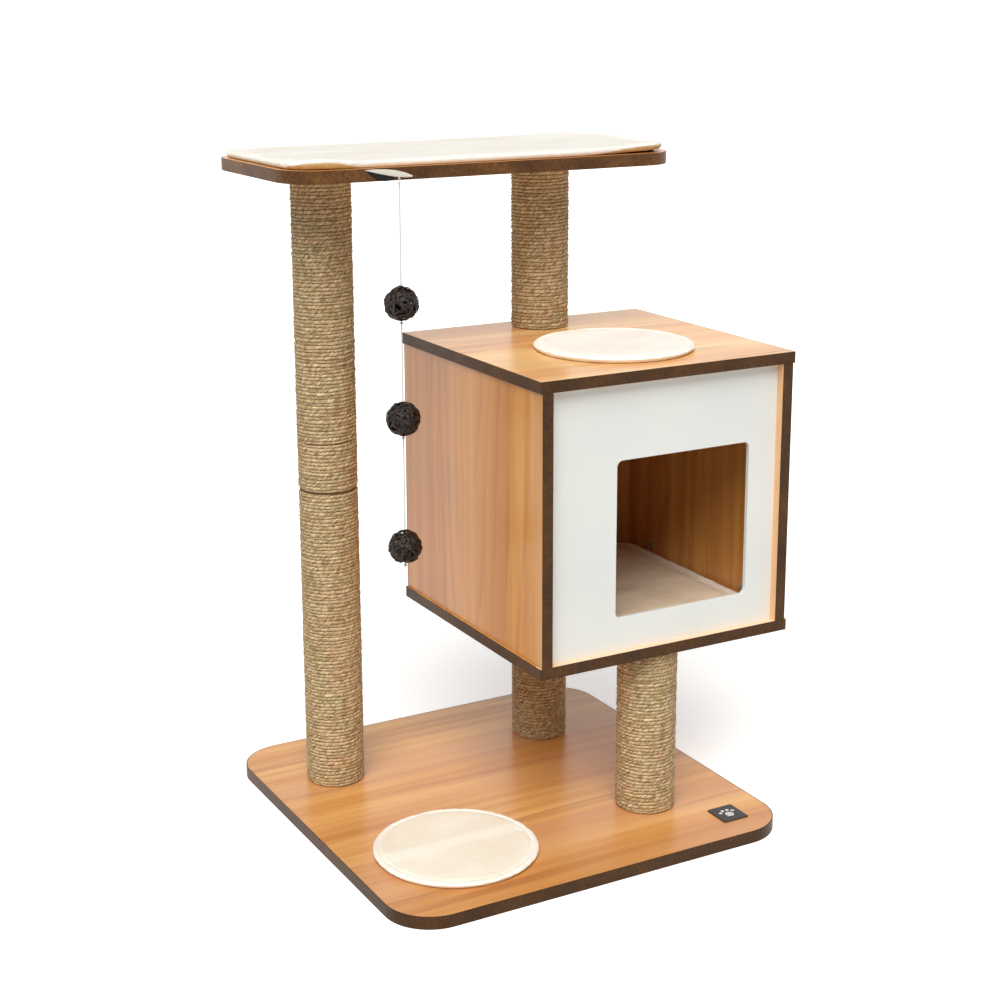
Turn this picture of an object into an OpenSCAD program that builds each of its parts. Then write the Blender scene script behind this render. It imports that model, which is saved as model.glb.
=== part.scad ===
// Cat tree: a square base, rope-wrapped posts, a den with a door, a long platform,
// lift-off cushions and a hanging toy.
// +Z is up. The origin is the centre of the base's underside, and the den's door faces -Y.

/* [Base] */
// Width of the base board along X
base_w = 560; // [520:5:640]
// Depth of the base board along Y
base_d = 560; // [520:5:640]
// Thickness of the base board
base_t = 17; // [15:0.5:22]
// Corner radius of the base board
base_r = 62; // [30:1:90]
// Thickness of every board's edge band
band_t = 1.2; // [0.8:0.1:2]

/* [Posts] */
// Diameter of a post over its rope
post_d = 79.4; // [74:0.1:86]
// Diameter of a post's cardboard tube
tube_d = 71; // [66:0.5:72]
// Wall of the cardboard tube
tube_wall = 4.5; // [3:0.5:6]
// Length of each of the tall post's two sections
tall_section_h = 415; // [400:1:440]
// Height of the two posts under the den
leg_h = 225; // [200:1:230]
// Distance of the tall post's axis from the base's centre, towards -X
tall_x = 183; // [170:1:200]
// Distance of the other posts' axes from the base's centre, towards +X
den_x = 142; // [135:1:150]
// Distance of the posts' rows from the base's centre, towards +Y and -Y
row_y = 140; // [125:1:150]

/* [Den] */
// Outer width of the den between its side panels' outer faces
den_w = 374; // [350:1:380]
// Outer depth of the den
den_d = 374; // [350:1:380]
// Outer height of the den
den_h = 378; // [350:1:385]
// Thickness of the den's floor, top and side panels
den_t = 15; // [14:0.5:18]
// How far the floor and top panels stand out past each side panel
den_overhang = 3; // [0:0.5:6]
// Thickness of the front and back panels
thin_t = 6; // [4:0.5:9]
// How far the front and back panels sit in from the den's edges
panel_inset = 13; // [8:0.5:20]
// Depth of the grooves that hold the front and back panels
groove = 5; // [3:0.5:7]
// Width of the door
door_w = 202; // [180:1:230]
// Height of the door
door_h = 206; // [180:1:230]
// Gap between the door and the den's inner right wall and floor
door_margin = 42; // [30:1:60]
// Corner radius of the door
door_r = 8; // [4:1:20]

/* [Platform] */
// Length of the platform along X
platform_w = 560; // [540:5:600]
// Depth of the platform along Y
platform_d = 276; // [240:2:300]
// Thickness of the platform
platform_t = 16; // [15:0.5:20]
// Corner radius of the platform
platform_r = 53; // [30:1:80]

/* [Cushions] */
// Radius of the two round cushions
round_r = 106; // [90:1:115]
// Thickness of the two round cushions
round_t = 7; // [5:0.5:14]
// Thickness of the platform's cushion
platform_cushion_t = 7; // [5:0.5:14]
// Thickness of the den's cushion
den_cushion_t = 20; // [12:1:26]
// How far the platform's cushion stays inside the board's edge
platform_cushion_inset = 5; // [3:1:12]
// Thickness of the hook pads that hold the cushions
hook_t = 1.5; // [1:0.1:2]

/* [Toy] */
// Radius of each woven ball
ball_r = 22.5; // [18:0.5:26]
// Diameter of the string
string_d = 2; // [1.5:0.1:3]
// Distance of the string from the base's centre, towards -X
toy_x = 139; // [125:1:150]
// Drop from the platform's underside to the centre of the upper ball
upper_drop = 152; // [148:1:156]
// Drop from the platform's underside to the centre of the middle ball
middle_drop = 299; // [296:1:302]
// Drop from the platform's underside to the centre of the lower ball
lower_drop = 467; // [464:1:470]

/* [Hidden] */

$fn = 96;
wood_color = [0.80, 0.58, 0.38];
band_color = [0.30, 0.20, 0.14];
white_color = [0.93, 0.94, 0.92];
rope_color = [0.68, 0.58, 0.40];
steel_color = [0.75, 0.76, 0.78];
cream_color = [0.97, 0.93, 0.86];
card_color = [0.72, 0.60, 0.45];
plug_color = [0.85, 0.72, 0.52];
black_color = [0.10, 0.09, 0.08];
string_color = [0.92, 0.92, 0.90];

den_z = base_t + leg_h;
den_top_z = den_z + den_h;
platform_z = base_t + 2 * tall_section_h;
platform_top_z = platform_z + platform_t;
platform_front_y = row_y - platform_d / 2;
inner_w = den_w - 2 * den_t;
inner_h = den_h - 2 * den_t;
inner_z = den_z + den_t;
inner_x = den_x - inner_w / 2;
panel_y = den_d / 2 - panel_inset - thin_t;
tall_axis = [-tall_x, row_y];
front_axis = [den_x, -row_y];
back_axis = [den_x, row_y];

// Post hardware: M8 bolts in threaded inserts
bolt_r = 4;
bolt_l = 22;
head_r = 7;
head_h = 5;
socket_r = 3.2;
socket_depth = 3;
washer_r = 11;
washer_t = 1.6;
hole_r = 4.5;
recess_r = 12.5;
recess_depth = 7.2;
plug_t = 16;
insert_r = 6;
thread_r = 4.1;
stud_l = 28;

// Panel fittings: dowels, and cam bolts drawn in by discs
dowel_r = 4;
dowel_l = 30;
dowel_in_panel = 10;
dowel_y = 62;
cam_y = 112;
cam_r = 7.5;
cam_depth = 12;
cam_from_end = 24;
cam_bolt_r = 3;
cam_hole_r = 3.6;

// Cushions and their hook pads. Each cushion lies a hair above its pads.
gap = 0.3;
pad_top = hook_t + gap;
base_cushion_at = [-142, -138];
roof_cushion_at = [den_x, -51];
hook_pad = [44, 18];
round_pad_at = [52, 52];
den_pad_at = [110, 105];
platform_pad_x = 230;
den_cushion_gap = 4;
den_cushion_r = 26;

eps = 0.01;

badge_size = [38, 40];
badge_t = 1.6;
badge_at = [217.5, -223.5];
mark_t = 0.4;

knot_r = 2.2;
hang_z = platform_z - 3;
string_sides = 8;
ball_wall = 3;
strap_t = 1.3;
backing_t = 0.6;

// Each post section: axis, lowest z, length
TALL_LOWER = [tall_axis, base_t, tall_section_h];
TALL_UPPER = [tall_axis, base_t + tall_section_h, tall_section_h];
FRONT_POST = [front_axis, base_t, leg_h];
BACK_POST = [back_axis, base_t, leg_h];
UPPER_POST = [back_axis, den_top_z, platform_z - den_top_z];
POSTS = [TALL_LOWER, TALL_UPPER, FRONT_POST, BACK_POST, UPPER_POST];

// Each bolt: axis, z of the board's face under its head, and 1 for a shank that points up
BASE_BOLTS = [[tall_axis, 0, 1], [front_axis, 0, 1], [back_axis, 0, 1]];
FLOOR_BOLTS = [[front_axis, inner_z, -1], [back_axis, inner_z, -1]];
ROOF_BOLTS = [[back_axis, den_top_z - den_t, 1]];
PLATFORM_BOLTS = [[tall_axis, platform_top_z, -1], [back_axis, platform_top_z, -1]];
BOLTS = concat(BASE_BOLTS, FLOOR_BOLTS, ROOF_BOLTS, PLATFORM_BOLTS);

// Heights of the string's route points. It hangs straight down at toy_x, in front of the platform.
UPPER_ROUTE = [841, 835, 829, 823, 817, 811, 805, 799, 793, 787, 781, 775, 769, 763, 757, 751,
    745, 739, 733, 727, 721, 717.4];
MIDDLE_ROUTE = [667.4, 662, 656, 650, 644, 638, 632, 626, 620, 614, 608, 602, 596, 590, 584,
    578, 570.4];
LOWER_ROUTE = [520.4, 515, 509, 503, 497, 491, 485, 479, 473, 467, 461, 455, 449, 443, 437,
    431, 425, 419, 413, 407, 402.4];

// ---- Shared shapes

module rounded_outline(w, d, r) {
    square([w - 2 * r, d], center = true);
    square([w, d - 2 * r], center = true);
    for (x = [-1, 1], y = [-1, 1])
        translate([x * (w / 2 - r), y * (d / 2 - r)]) circle(r);
}

module rounded_plate(w, d, t, r) {
    linear_extrude(t) rounded_outline(w, d, r);
}

// A band of even thickness round a rounded board
module round_band(w, d, t, r) {
    linear_extrude(t) difference() {
        rounded_outline(w, d, r);
        rounded_outline(w - 2 * band_t, d - 2 * band_t, r - band_t);
    }
}

module square_band(w, d, t) {
    linear_extrude(t) difference() {
        square([w, d], center = true);
        square([w - 2 * band_t, d - 2 * band_t], center = true);
    }
}

// Places a bolt's pieces with +Z along its shank, from the face under its head
module at_bolt(b) {
    translate([b[0][0], b[0][1], b[1]]) rotate([b[2] > 0 ? 0 : 180, 0, 0]) children();
}

module bolt_holes(bolts, t) {
    for (b = bolts) at_bolt(b) {
        translate([0, 0, -eps]) cylinder(r = recess_r, h = recess_depth + eps);
        cylinder(r = hole_r, h = t + eps);
    }
}

// A disc with a soft rim
module soft_disc(r, t) {
    rim = t / 2;
    rotate_extrude() {
        square([r - rim, t]);
        intersection() {
            translate([r - rim, rim]) circle(rim);
            translate([r - rim, 0]) square([rim, t]);
        }
    }
}

// ---- Base

module base_board() {
    color(wood_color) difference() {
        rounded_plate(base_w - 2 * band_t, base_d - 2 * band_t, base_t, base_r - band_t);
        bolt_holes(BASE_BOLTS, base_t);
    }
}

module base_edge_band() {
    color(band_color) round_band(base_w, base_d, base_t, base_r);
}

module badge_plate() {
    color(band_color) translate([badge_at[0], badge_at[1], base_t])
        rounded_plate(badge_size[0], badge_size[1], badge_t, 2);
}

// A plain paw print: one pad and four toes
module badge_mark() {
    toe_angles = [36, 72, 108, 144];
    color(steel_color) translate([badge_at[0], badge_at[1], base_t + badge_t]) {
        translate([0, -4, 0]) cylinder(r = 6, h = mark_t);
        for (a = toe_angles)
            translate([11.5 * cos(a), -4 + 11.5 * sin(a), 0]) cylinder(r = 2.6, h = mark_t);
    }
}

// ---- Posts

module at_post(p) {
    translate([p[0][0], p[0][1], p[1]]) children();
}

module post_tube(p) {
    color(card_color) at_post(p) difference() {
        cylinder(d = tube_d, h = p[2]);
        translate([0, 0, -eps]) cylinder(d = tube_d - 2 * tube_wall, h = p[2] + 2 * eps);
    }
}

module post_rope(p) {
    color(rope_color) at_post(p) difference() {
        cylinder(d = post_d, h = p[2]);
        translate([0, 0, -eps]) cylinder(d = tube_d, h = p[2] + 2 * eps);
    }
}

module post_plugs(p) {
    color(plug_color) at_post(p) for (z = [0, p[2] - plug_t])
        translate([0, 0, z]) difference() {
            cylinder(d = tube_d - 2 * tube_wall, h = plug_t);
            translate([0, 0, -eps]) cylinder(r = insert_r, h = plug_t + 2 * eps);
        }
}

module tall_post_lower_tube() { post_tube(TALL_LOWER); }
module tall_post_lower_rope() { post_rope(TALL_LOWER); }
module tall_post_lower_plugs() { post_plugs(TALL_LOWER); }
module tall_post_upper_tube() { post_tube(TALL_UPPER); }
module tall_post_upper_rope() { post_rope(TALL_UPPER); }
module tall_post_upper_plugs() { post_plugs(TALL_UPPER); }
module front_post_tube() { post_tube(FRONT_POST); }
module front_post_rope() { post_rope(FRONT_POST); }
module front_post_plugs() { post_plugs(FRONT_POST); }
module back_post_tube() { post_tube(BACK_POST); }
module back_post_rope() { post_rope(BACK_POST); }
module back_post_plugs() { post_plugs(BACK_POST); }
module upper_post_tube() { post_tube(UPPER_POST); }
module upper_post_rope() { post_rope(UPPER_POST); }
module upper_post_plugs() { post_plugs(UPPER_POST); }

module post_inserts() {
    color(steel_color) for (p = POSTS, top = [0, 1])
        at_post(p) translate([0, 0, top * (p[2] - plug_t)]) difference() {
            cylinder(r = insert_r, h = plug_t);
            translate([0, 0, -eps]) cylinder(r = thread_r, h = plug_t + 2 * eps);
        }
}

module tall_post_stud() {
    color(steel_color) translate([-tall_x, row_y, TALL_UPPER[1] - stud_l / 2])
        cylinder(r = bolt_r, h = stud_l);
}

module post_bolts() {
    head_z = recess_depth - washer_t - head_h;
    color(steel_color) for (b = BOLTS) at_bolt(b) translate([0, 0, head_z]) {
        difference() {
            cylinder(r = head_r, h = head_h);
            translate([0, 0, -eps]) cylinder(r = socket_r, h = socket_depth + eps, $fn = 6);
        }
        translate([0, 0, head_h]) cylinder(r = bolt_r, h = bolt_l);
    }
}

module post_bolt_washers() {
    color(steel_color) for (b = BOLTS) at_bolt(b)
        translate([0, 0, recess_depth - washer_t]) difference() {
            cylinder(r = washer_r, h = washer_t);
            translate([0, 0, -eps]) cylinder(r = thread_r, h = washer_t + 2 * eps);
        }
}

// ---- Den

module at_den(z) {
    translate([den_x, 0, z]) children();
}

// Each joint between a side panel and the floor or top panel: side, and 1 for the top
JOINTS = [for (side = [-1, 1], top = [0, 1]) [side, top]];

// Places a fitting at a joint with +Z pointing into the side panel
module at_joint(j, y) {
    z = j[1] > 0 ? den_top_z - den_t : inner_z;
    translate([den_x + j[0] * (den_w - den_t) / 2, y, z])
        rotate([j[1] > 0 ? 180 : 0, 0, 0]) children();
}

module dowel_shape() {
    translate([0, 0, -dowel_in_panel]) cylinder(r = dowel_r, h = dowel_l);
}

module dowel_places() {
    for (j = JOINTS, y = [-dowel_y, dowel_y]) at_joint(j, y) children();
}

module cam_places() {
    for (j = JOINTS, y = [-cam_y, cam_y]) at_joint(j, y) children();
}

// The disc's cylinder, from the side panel's inner face towards its middle
module cam_disc_places() {
    for (j = JOINTS, y = [-cam_y, cam_y]) {
        z = j[1] > 0 ? den_top_z - den_t - cam_from_end : inner_z + cam_from_end;
        translate([den_x + j[0] * inner_w / 2, y, z]) rotate([0, j[0] * 90, 0]) children();
    }
}

module thin_panel_grooves(x, w, z, h) {
    for (y = [-panel_y - thin_t, panel_y])
        translate([x, y, z]) cube([w, thin_t, h]);
}

module den_flat_panel(z, groove_z) {
    color(wood_color) difference() {
        at_den(z) linear_extrude(den_t)
            square([den_w + 2 * den_overhang - 2 * band_t, den_d - 2 * band_t], center = true);
        thin_panel_grooves(inner_x - groove, inner_w + 2 * groove, groove_z, groove);
        bolt_holes(concat(FLOOR_BOLTS, ROOF_BOLTS), den_t);
        dowel_places() dowel_shape();
        cam_places() translate([0, 0, -dowel_in_panel])
            cylinder(r = cam_bolt_r, h = dowel_in_panel + eps);
    }
}

module den_floor_panel() { den_flat_panel(den_z, inner_z - groove); }
module den_top_panel() { den_flat_panel(den_top_z - den_t, den_top_z - den_t); }

module den_side_panel(side) {
    color(wood_color) difference() {
        at_den(inner_z) translate([side * (den_w - den_t) / 2, 0, 0]) linear_extrude(inner_h)
            square([den_t, den_d - 2 * band_t], center = true);
        at_den(0) mirror([side > 0 ? 0 : 1, 0, 0])
            thin_panel_grooves(inner_w / 2, groove, inner_z, inner_h);
        dowel_places() dowel_shape();
        cam_places() cylinder(r = cam_hole_r, h = cam_from_end);
        cam_disc_places() translate([0, 0, -eps]) cylinder(r = cam_r, h = cam_depth + eps);
    }
}

module den_left_panel() { den_side_panel(-1); }
module den_right_panel() { den_side_panel(1); }

module thin_panel_plate() {
    translate([den_x - inner_w / 2 - groove, 0, inner_z - groove])
        cube([inner_w + 2 * groove, thin_t, inner_h + 2 * groove]);
}

module den_back_panel() {
    color(wood_color) translate([0, panel_y, 0]) thin_panel_plate();
}

module den_front_panel() {
    door_x = inner_x + inner_w - door_margin - door_w / 2;
    door_z = inner_z + door_margin + door_h / 2;
    color(white_color) translate([0, -panel_y - thin_t, 0]) difference() {
        thin_panel_plate();
        translate([door_x, thin_t + eps, door_z]) rotate([90, 0, 0])
            linear_extrude(thin_t + 2 * eps) rounded_outline(door_w, door_h, door_r);
    }
}

module den_flat_band(z) {
    color(band_color) at_den(z) square_band(den_w + 2 * den_overhang, den_d, den_t);
}

module den_floor_edge_band() { den_flat_band(den_z); }
module den_top_edge_band() { den_flat_band(den_top_z - den_t); }

module den_side_bands(side) {
    color(band_color) for (end = [-1, 1])
        at_den(inner_z) linear_extrude(inner_h)
            translate([side * (den_w - den_t) / 2, end * (den_d - band_t) / 2])
                square([den_t, band_t], center = true);
}

module den_left_edge_bands() { den_side_bands(-1); }
module den_right_edge_bands() { den_side_bands(1); }

module den_dowels() {
    color(plug_color) dowel_places() dowel_shape();
}

module den_cam_bolts() {
    color(steel_color) cam_places() translate([0, 0, -dowel_in_panel])
        cylinder(r = cam_bolt_r, h = dowel_in_panel + cam_from_end);
}

// A cam disc with the hole that lets its bolt in
module den_cam_discs() {
    color(steel_color) difference() {
        cam_disc_places() cylinder(r = cam_r, h = cam_depth);
        cam_places() cylinder(r = cam_hole_r, h = cam_from_end + cam_bolt_r);
    }
}

// ---- Platform

module at_platform(z) {
    translate([0, row_y, z]) children();
}

module platform_board() {
    color(wood_color) difference() {
        at_platform(platform_z) rounded_plate(platform_w - 2 * band_t,
            platform_d - 2 * band_t, platform_t, platform_r - band_t);
        bolt_holes(PLATFORM_BOLTS, platform_t);
    }
}

module platform_edge_band() {
    color(band_color) at_platform(platform_z)
        round_band(platform_w, platform_d, platform_t, platform_r);
}

// ---- Cushions, each lying on its hook pads

// Hook pads centred at, at every pair of these distances along X and Y
module hook_pads(at, z, along_x, along_y) {
    color(black_color) for (x = along_x, y = along_y)
        translate([at[0] + x, at[1] + y, z])
            rounded_plate(hook_pad[0], hook_pad[1], hook_t, 2);
}

module four_hook_pads(at, z, spread) {
    hook_pads(at, z, [-spread[0], spread[0]], [-spread[1], spread[1]]);
}

module base_cushion() {
    color(cream_color) translate([base_cushion_at[0], base_cushion_at[1], base_t + pad_top])
        soft_disc(round_r, round_t);
}

module den_roof_cushion() {
    color(cream_color) translate([roof_cushion_at[0], roof_cushion_at[1], den_top_z + pad_top])
        soft_disc(round_r, round_t);
}

module den_cushion() {
    color(cream_color) at_den(inner_z + pad_top)
        rounded_plate(inner_w - 2 * den_cushion_gap, 2 * (panel_y - den_cushion_gap),
            den_cushion_t, den_cushion_r);
}

module platform_cushion() {
    side = 2 * platform_cushion_inset;
    color(cream_color) at_platform(platform_top_z + pad_top)
        rounded_plate(platform_w - side, platform_d - side, platform_cushion_t,
            platform_r - platform_cushion_inset);
}

module base_hook_pads() { four_hook_pads(base_cushion_at, base_t, round_pad_at); }
module den_roof_hook_pads() { four_hook_pads(roof_cushion_at, den_top_z, round_pad_at); }
module den_hook_pads() { four_hook_pads([den_x, 0], inner_z, den_pad_at); }

module platform_hook_pads() {
    hook_pads([0, row_y], platform_top_z, [-platform_pad_x, 0, platform_pad_x],
        [-den_pad_at[1], den_pad_at[1]]);
}

// ---- Toy

// A tube along points that run straight down, with its ends closed
module string_tube(heights) {
    n = len(heights);
    rings = [for (z = heights, i = [0 : string_sides - 1])
        [string_d / 2 * cos(i * 360 / string_sides), string_d / 2 * sin(i * 360 / string_sides), z]];
    walls = [for (k = [0 : n - 2], i = [0 : string_sides - 1])
        let (j = (i + 1) % string_sides, a = k * string_sides, b = a + string_sides)
        [a + i, a + j, b + j, b + i]];
    top_cap = [for (i = [string_sides - 1 : -1 : 0]) i];
    bottom_cap = [for (i = [0 : string_sides - 1]) (n - 1) * string_sides + i];
    color(string_color) translate([-toy_x, 0, 0])
        polyhedron(rings, concat(walls, [top_cap, bottom_cap]));
}

// A hollow ball, as a woven one is
module toy_ball(drop) {
    color(black_color) translate([-toy_x, 0, platform_z - drop]) difference() {
        sphere(ball_r);
        sphere(ball_r - ball_wall);
    }
}

// The knot that holds a ball up, just under it
module toy_knot(drop) {
    color(string_color) translate([-toy_x, 0, platform_z - drop - ball_r - knot_r - eps])
        sphere(knot_r, $fn = 32);
}

// The strap lies on the platform's front edge and slopes down to the string. Its backing
// ends short of the string, so the hanging knot swings clear.
module strap_outline(length, height) {
    polygon([[0, 0], [length * 0.84, 0], [length, -height * 0.35], [length * 0.95, -height],
        [length * 0.3, -height], [length * 0.06, -height * 0.45]]);
}

module on_front_edge(x, z, back, t) {
    translate([x, platform_front_y - back, z]) rotate([90, 0, 0]) linear_extrude(t) children();
}

module toy_strap() {
    color(string_color) on_front_edge(-184, platform_top_z - 1.5, backing_t, strap_t)
        rotate(-9) strap_outline(66, 7);
}

module toy_strap_backing() {
    color(black_color) on_front_edge(-182, platform_top_z - 3, 0, backing_t)
        rotate(-13) strap_outline(38, 7.5);
}

module toy_hanging_knot() {
    color(string_color) translate([-toy_x, 0, hang_z]) sphere(knot_r, $fn = 32);
}

module toy_string_upper() { string_tube(UPPER_ROUTE); }
module toy_ball_upper() { toy_ball(upper_drop); }
module toy_knot_upper() { toy_knot(upper_drop); }
module toy_string_middle() { string_tube(MIDDLE_ROUTE); }
module toy_ball_middle() { toy_ball(middle_drop); }
module toy_knot_middle() { toy_knot(middle_drop); }
module toy_string_lower() { string_tube(LOWER_ROUTE); }
module toy_ball_lower() { toy_ball(lower_drop); }
module toy_knot_lower() { toy_knot(lower_drop); }

base_board();
base_edge_band();
badge_plate();
badge_mark();
tall_post_lower_tube();
tall_post_lower_rope();
tall_post_lower_plugs();
tall_post_upper_tube();
tall_post_upper_rope();
tall_post_upper_plugs();
front_post_tube();
front_post_rope();
front_post_plugs();
back_post_tube();
back_post_rope();
back_post_plugs();
upper_post_tube();
upper_post_rope();
upper_post_plugs();
post_inserts();
tall_post_stud();
post_bolts();
post_bolt_washers();
den_floor_panel();
den_top_panel();
den_left_panel();
den_right_panel();
den_back_panel();
den_front_panel();
den_floor_edge_band();
den_top_edge_band();
den_left_edge_bands();
den_right_edge_bands();
den_dowels();
den_cam_bolts();
den_cam_discs();
platform_board();
platform_edge_band();
base_cushion();
den_roof_cushion();
den_cushion();
platform_cushion();
base_hook_pads();
den_roof_hook_pads();
den_hook_pads();
platform_hook_pads();
toy_strap();
toy_strap_backing();
toy_hanging_knot();
toy_string_upper();
toy_ball_upper();
toy_knot_upper();
toy_string_middle();
toy_ball_middle();
toy_knot_middle();
toy_string_lower();
toy_ball_lower();
toy_knot_lower();
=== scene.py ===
"""The cat tree's looks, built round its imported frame. All lengths are in metres, +Z is up."""

import math

import bmesh
import bpy
import numpy as np
from mathutils import Euler, Matrix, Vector
from mathutils.bvhtree import BVHTree


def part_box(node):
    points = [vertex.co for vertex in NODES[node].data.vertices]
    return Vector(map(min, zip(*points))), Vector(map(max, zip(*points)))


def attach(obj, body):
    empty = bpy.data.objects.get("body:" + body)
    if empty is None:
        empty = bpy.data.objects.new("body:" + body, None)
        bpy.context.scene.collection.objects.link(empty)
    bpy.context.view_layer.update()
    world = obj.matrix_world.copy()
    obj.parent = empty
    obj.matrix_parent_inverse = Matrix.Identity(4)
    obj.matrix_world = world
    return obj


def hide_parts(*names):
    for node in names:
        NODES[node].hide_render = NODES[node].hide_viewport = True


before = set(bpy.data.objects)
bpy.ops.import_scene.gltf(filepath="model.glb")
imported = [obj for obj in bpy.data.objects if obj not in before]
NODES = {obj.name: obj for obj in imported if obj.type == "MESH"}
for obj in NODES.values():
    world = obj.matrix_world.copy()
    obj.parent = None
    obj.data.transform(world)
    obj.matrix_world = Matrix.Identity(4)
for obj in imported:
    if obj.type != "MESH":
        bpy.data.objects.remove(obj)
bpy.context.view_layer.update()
MM = 0.001


# ---- Camera

def add_camera():
    """A long lens at the front left, a little above the object, with a small shift."""
    lens_mm, shift_y = 64.62, -0.07
    place = (-1.1029, -1.9808, 1.0686)
    azimuth, elevation, roll = math.radians(-29.12), math.radians(13.68), math.radians(-0.18)
    data = bpy.data.cameras.new("camera")
    data.sensor_width, data.lens, data.shift_y = 36, lens_mm, shift_y
    camera = bpy.data.objects.new("camera", data)
    turned = Euler((math.pi / 2 - elevation, 0, azimuth)).to_matrix() @ Matrix.Rotation(roll, 3, "Z")
    camera.matrix_world = Matrix.Translation(place) @ turned.to_4x4()
    bpy.context.collection.objects.link(camera)
    bpy.context.scene.camera = camera


# ---- Mesh helpers

def mesh_object(name, vertices, faces):
    """A smooth-shaded mesh object from arrays of vertices and faces, with its faces turned outwards."""
    mesh = bpy.data.meshes.new(name)
    mesh.from_pydata(np.asarray(vertices).reshape(-1, 3).tolist(), [], [list(f) for f in faces])
    shell = bmesh.new()
    shell.from_mesh(mesh)
    if shell.calc_volume(signed=True) < 0:
        mesh.flip_normals()
    shell.free()
    mesh.shade_smooth()
    piece = bpy.data.objects.new(name, mesh)
    bpy.context.collection.objects.link(piece)
    return piece


def points_of(piece):
    """The places of a piece's vertices, one row each."""
    flat = np.empty(len(piece.data.vertices) * 3, np.float32)
    piece.data.vertices.foreach_get("co", flat)
    return flat.reshape(-1, 3).astype(float)


def set_points(piece, points):
    """Moves a piece's vertices to new places."""
    piece.data.vertices.foreach_set("co", np.asarray(points, np.float32).ravel())
    piece.data.update()


def apply_modifiers(piece):
    """Gives a piece the mesh that its modifiers make of it."""
    bpy.context.view_layer.update()
    graph = bpy.context.evaluated_depsgraph_get()
    made = bpy.data.meshes.new_from_object(piece.evaluated_get(graph))
    piece.modifiers.clear()
    piece.data = made
    piece.data.shade_smooth()


def store(piece, name, values):
    """Keeps a vector at each vertex, for the piece's material."""
    attribute = piece.data.attributes.new(name, "FLOAT_VECTOR", "POINT")
    attribute.data.foreach_set("vector", np.asarray(values, np.float32).ravel())


def grid_faces(rows, columns, closed_rows=True, joined_ends=False, first=0):
    """Quads over rows of vertices, the first of which is number first. closed_rows joins each row's ends, and
    joined_ends the last row to the first."""
    r = np.arange(rows if joined_ends else rows - 1)[:, None]
    c = np.arange(columns if closed_rows else columns - 1)[None, :]
    r2, c2 = (r + 1) % rows, (c + 1) % columns
    quads = [r * columns + c, r * columns + c2, r2 * columns + c2, r2 * columns + c]
    return (np.stack([q.ravel() for q in quads], 1) + first).tolist()


def sweep(rings, joined_ends=False, first=0):
    """Vertices and faces of a closed tube through rings, an array of rows by sides by 3."""
    rows, sides = rings.shape[:2]
    faces = grid_faces(rows, sides, True, joined_ends, first)
    if not joined_ends:
        faces.append([first + i for i in range(sides)][::-1])
        faces.append([first + (rows - 1) * sides + i for i in range(sides)])
    return rings.reshape(-1, 3), faces


def round_turn(count):
    """Even angles round a whole turn."""
    return np.linspace(0, 2 * math.pi, count, endpoint=False)


def tube_rings(path, along, out, half_w, half_h, sides):
    """Oval rings round a path, half_w wide across out and half_h high along it."""
    across = np.cross(out, along)
    w = np.broadcast_to(np.asarray(half_w, float), (len(path),))[:, None, None]
    c, s = np.cos(round_turn(sides))[None, :, None], np.sin(round_turn(sides))[None, :, None]
    return path[:, None] + c * w * across[:, None] + s * half_h * out[:, None]


def unit(v):
    """Vectors made one long."""
    return v / np.maximum(np.linalg.norm(v, axis=-1, keepdims=True), 1e-12)


def drift(t, step, seed):
    """A smooth seeded random line within -1 to 1, with a new height every step of t."""
    rng = np.random.default_rng(seed)
    heights = rng.uniform(-1, 1, int(np.max(t) / step) + 4)
    at = np.maximum(t, 0) / step
    i = np.floor(at).astype(int)
    share = smooth_step(at - i, 0, 1)
    return heights[i] * (1 - share) + heights[i + 1] * share


def smooth_step(value, low, high):
    """Rises from 0 at low to 1 at high, level at both ends."""
    t = np.clip((value - low) / (high - low), 0, 1)
    return t * t * (3 - 2 * t)


def add_piece(piece, body, slot, material, *replaced):
    """Puts a made piece on its body, with its material and the CAD nodes that it stands for. slot is not
    used.
    """
    piece.data.materials.clear()
    piece.data.materials.append(material)
    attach(piece, body)
    if replaced:
        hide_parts(*replaced)
    return piece


# ---- Material helpers

def srgb(r, g, b):
    """A colour given as 0 to 255 display values."""
    linear = [(c / 255 + 0.055) ** 2.4 / 1.055 ** 2.4 if c > 10 else c / 255 / 12.92 for c in (r, g, b)]
    return (*linear, 1)


def grey(level):
    """A linear grey."""
    return (level, level, level, 1)


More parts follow.
